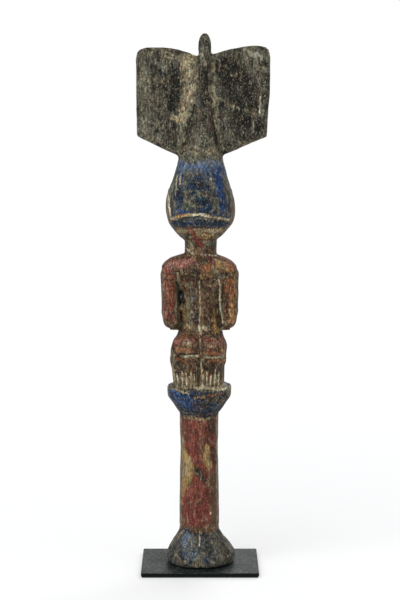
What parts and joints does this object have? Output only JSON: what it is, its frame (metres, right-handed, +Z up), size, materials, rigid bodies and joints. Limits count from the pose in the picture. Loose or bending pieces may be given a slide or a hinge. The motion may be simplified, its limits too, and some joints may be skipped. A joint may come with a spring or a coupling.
{
  "type": "carved wooden figure",
  "caption": "Painted wooden dance staff: a kneeling figure with a lidded bowl under a double axe, on a round grip, held upright by a pin on a flat steel plate.",
  "frame": {"origin": "middle of the stand's underside, on the pin's axis", "axes": "+Z up the staff; the figure faces -Y; its left side is at +X"},
  "size_m": [0.111, 0.0781, 0.4555],
  "materials": {
    "painted_wood": "old matte paint, worn and chipped",
    "dark_steel": "dark satin lacquer",
    "felt": "short felt",
    "pin_steel": "ground rod",
    "sleeve": "smooth shrink sleeve",
    "washer_leather": "dark cut leather",
    "screw_steel": "plain machined"
  },
  "bodies": {
    "stand": {"base_plate": "dark_steel", "felt_underlay": "felt", "mounting_pin": "pin_steel", "pin_sleeve": "sleeve", "pin_screw": "screw_steel"},
    "spacer": {"foot_washer": "washer_leather"},
    "staff": {"carved_staff": "painted_wood"}
  },
  "joints": [
    {"name": "staff_turn", "type": "hinge", "parent": "stand", "child": "spacer", "pos_m": [0, 0, 0.004], "axis": [0, 0, 1], "continuous": true},
    {"name": "staff_lift", "type": "slide", "parent": "spacer", "child": "staff", "axis": [0, 0, 1], "range_m": [0, 0.08]}
  ]
}
